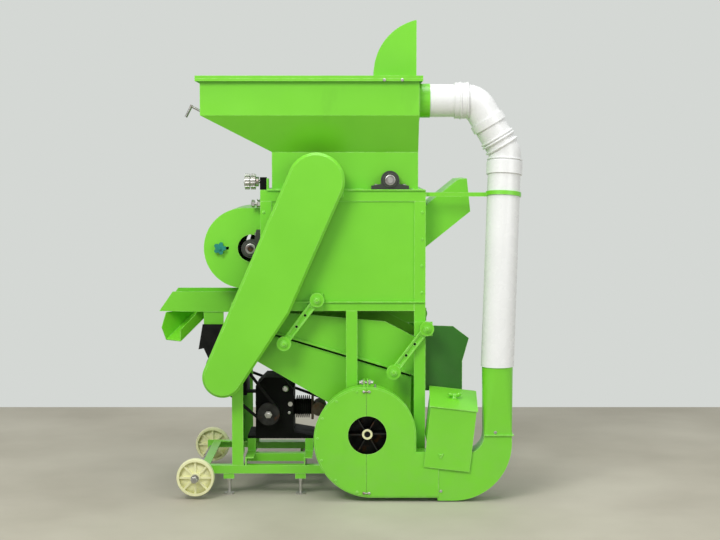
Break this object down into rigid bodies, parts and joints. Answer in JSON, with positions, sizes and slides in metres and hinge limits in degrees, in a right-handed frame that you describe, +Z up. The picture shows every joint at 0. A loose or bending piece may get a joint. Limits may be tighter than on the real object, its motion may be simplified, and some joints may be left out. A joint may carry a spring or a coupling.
{
  "type": "peanut sheller",
  "caption": "Engine-driven peanut sheller: wheeled angle-iron frame, divided hopper, two shelling drums, winnowing fan, shaking sieve, and a blower that lifts nuts back through a pipe.",
  "frame": {"origin": "on the floor, under the middle of the overall box", "axes": "+X towards the blower duct, +Y away from the belt-guard side, +Z up"},
  "size_m": [1.2432, 0.684, 1.608],
  "materials": {
    "green_paint": "gloss enamel",
    "bare_steel": "mill finish",
    "cast_pulley": "turned grey iron",
    "bearing_iron": "dark enamel over cast iron",
    "white_pvc": "smooth rigid pipe",
    "cream_wheel": "satin",
    "belt_rubber": "matt",
    "zinc_steel": "zinc plated",
    "teal_plastic": "moulded",
    "engine_alloy": "black over cast alloy",
    "black_paint": "satin",
    "muffler_steel": "heat-tinted"
  },
  "bodies": {
    "machine_frame": {"adjuster_block": "black_paint", "arm_pivots": "green_paint", "belt_guard": "green_paint", "blower_casing": "green_paint", "blower_covers": "green_paint", "body_panels": "green_paint", "drive_belts": "belt_rubber", "drum_screens": "bare_steel", "elbow_duct": "green_paint", "engine_block": "engine_alloy", "engine_muffler": "muffler_steel", "fan_housing": "green_paint", "feeder_box": "green_paint", "frame_posts": "green_paint", "frame_rails": "green_paint", "fuel_tank": "black_paint", "hopper": "green_paint", "hopper_divider": "bare_steel", "hopper_throat": "green_paint", "inlet_stub": "green_paint", "pillow_bearings": "bearing_iron", "pipe_bends": "white_pvc", "pipe_stay": "green_paint", "return_chute": "green_paint", "return_hood": "green_paint", "riser_duct": "green_paint", "screw_feet": "zinc_steel", "shell_chute": "green_paint", "straight_pipes": "white_pvc", "wheel_axle": "bare_steel", "wind_box": "green_paint"},
    "main_rotor": {"main_drum": "bare_steel", "main_beater_bars": "bare_steel", "main_pulleys": "cast_pulley"},
    "second_rotor": {"second_drum": "bare_steel", "second_pulley": "cast_pulley"},
    "winnow_rotor": {"winnow_fan": "bare_steel", "winnow_pulley": "cast_pulley"},
    "counter_rotor": {"counter_shaft": "bare_steel", "counter_pulleys": "cast_pulley"},
    "engine_rotor": {"engine_pulley": "cast_pulley"},
    "blower_rotor": {"blower_shaft": "bare_steel", "blower_impeller": "bare_steel", "blower_pulley": "cast_pulley", "sieve_fan": "bare_steel", "sieve_eccentric": "cast_pulley"},
    "left_arms": {"rocker_arms_left": "green_paint"},
    "sieve": {"sieve_frame": "green_paint", "sieve_deck": "bare_steel", "kernel_tray": "green_paint", "kernel_spout": "green_paint", "rubber_flap": "belt_rubber"},
    "right_arms": {"rocker_arms_right": "green_paint"},
    "rod": {"connecting_rod": "bare_steel"},
    "near_wheel": {"wheel_near": "cream_wheel"},
    "far_wheel": {"wheel_far": "cream_wheel"},
    "gate": {"feed_gate": "bare_steel"},
    "shutter": {"fan_shutter": "teal_plastic"},
    "feeder_lid": {"feeder_lid": "green_paint"},
    "adjuster": {"adjuster_wheel": "zinc_steel"}
  },
  "joints": [
    {"name": "main_drum_spin", "type": "hinge", "parent": "machine_frame", "child": "main_rotor", "pos_m": [-0.072, 0, 1.0673], "axis": [0, 1, 0], "continuous": true},
    {"name": "second_drum_spin", "type": "hinge", "parent": "machine_frame", "child": "second_rotor", "pos_m": [0.174, 0, 1.0673], "axis": [0, 1, 0], "continuous": true},
    {"name": "winnow_fan_spin", "type": "hinge", "parent": "machine_frame", "child": "winnow_rotor", "pos_m": [-0.2943, 0, 0.837], "axis": [0, 1, 0], "continuous": true},
    {"name": "counter_shaft_spin", "type": "hinge", "parent": "machine_frame", "child": "counter_rotor", "pos_m": [-0.3933, 0, 0.425], "axis": [0, 1, 0], "continuous": true},
    {"name": "engine_pulley_spin", "type": "hinge", "parent": "machine_frame", "child": "engine_rotor", "pos_m": [-0.241, -0.15, 0.264], "axis": [0, 1, 0], "continuous": true},
    {"name": "blower_spin", "type": "hinge", "parent": "machine_frame", "child": "blower_rotor", "pos_m": [0.0973, 0, 0.224], "axis": [0, 1, 0], "continuous": true},
    {"name": "left_arms_swing", "type": "hinge", "parent": "machine_frame", "child": "left_arms", "pos_m": [-0.071, 0, 0.667], "axis": [0, 1, 0], "range_deg": [-1.8, 1.8]},
    {"name": "sieve_swing", "type": "hinge", "parent": "left_arms", "child": "sieve", "pos_m": [-0.18225, 0, 0.52044], "axis": [0, 1, 0], "range_deg": [-1.8, 1.8]},
    {"name": "right_arms_swing", "type": "hinge", "parent": "machine_frame", "child": "right_arms", "pos_m": [0.297, 0, 0.57], "axis": [0, 1, 0], "range_deg": [-1.8, 1.8]},
    {"name": "connecting_rod_swing", "type": "hinge", "parent": "sieve", "child": "rod", "pos_m": [-0.028, 0.242, 0.497], "axis": [0, 1, 0], "range_deg": [-0.5, 0.5]},
    {"name": "near_wheel_spin", "type": "hinge", "parent": "machine_frame", "child": "near_wheel", "pos_m": [-0.478, -0.29, 0.074], "axis": [0, 1, 0], "continuous": true},
    {"name": "far_wheel_spin", "type": "hinge", "parent": "machine_frame", "child": "far_wheel", "pos_m": [-0.478, 0.29, 0.074], "axis": [0, 1, 0], "continuous": true},
    {"name": "feed_gate_slide", "type": "slide", "parent": "machine_frame", "child": "gate", "axis": [-0.8882, 0, 0.4594], "range_m": [0, 0.095]},
    {"name": "fan_shutter_slide", "type": "slide", "parent": "machine_frame", "child": "shutter", "axis": [1, 0, 0], "range_m": [0, 0.024]},
    {"name": "feeder_lid_swing", "type": "hinge", "parent": "machine_frame", "child": "feeder_lid", "pos_m": [0.31179, -0.1867, 0.36292], "axis": [-0.9936, 0, 0.1132], "range_deg": [0, 50]},
    {"name": "adjuster_turn", "type": "hinge", "parent": "machine_frame", "child": "adjuster", "pos_m": [-0.259, -0.15, 1.061], "axis": [1, 0, 0], "continuous": true}
  ],
  "couplings": [
    {"joint": "second_drum_spin", "follows": "main_drum_spin", "ratio": 1.3182},
    {"joint": "winnow_fan_spin", "follows": "main_drum_spin", "ratio": 1.25},
    {"joint": "counter_shaft_spin", "follows": "main_drum_spin", "ratio": 1.7778},
    {"joint": "engine_pulley_spin", "follows": "main_drum_spin", "ratio": 2.9006},
    {"joint": "blower_spin", "follows": "main_drum_spin", "ratio": 2.7937},
    {"joint": "sieve_swing", "follows": "left_arms_swing", "ratio": -1},
    {"joint": "right_arms_swing", "follows": "left_arms_swing", "ratio": 1},
    {"joint": "connecting_rod_swing", "follows": "left_arms_swing", "ratio": -0.275}
  ]
}
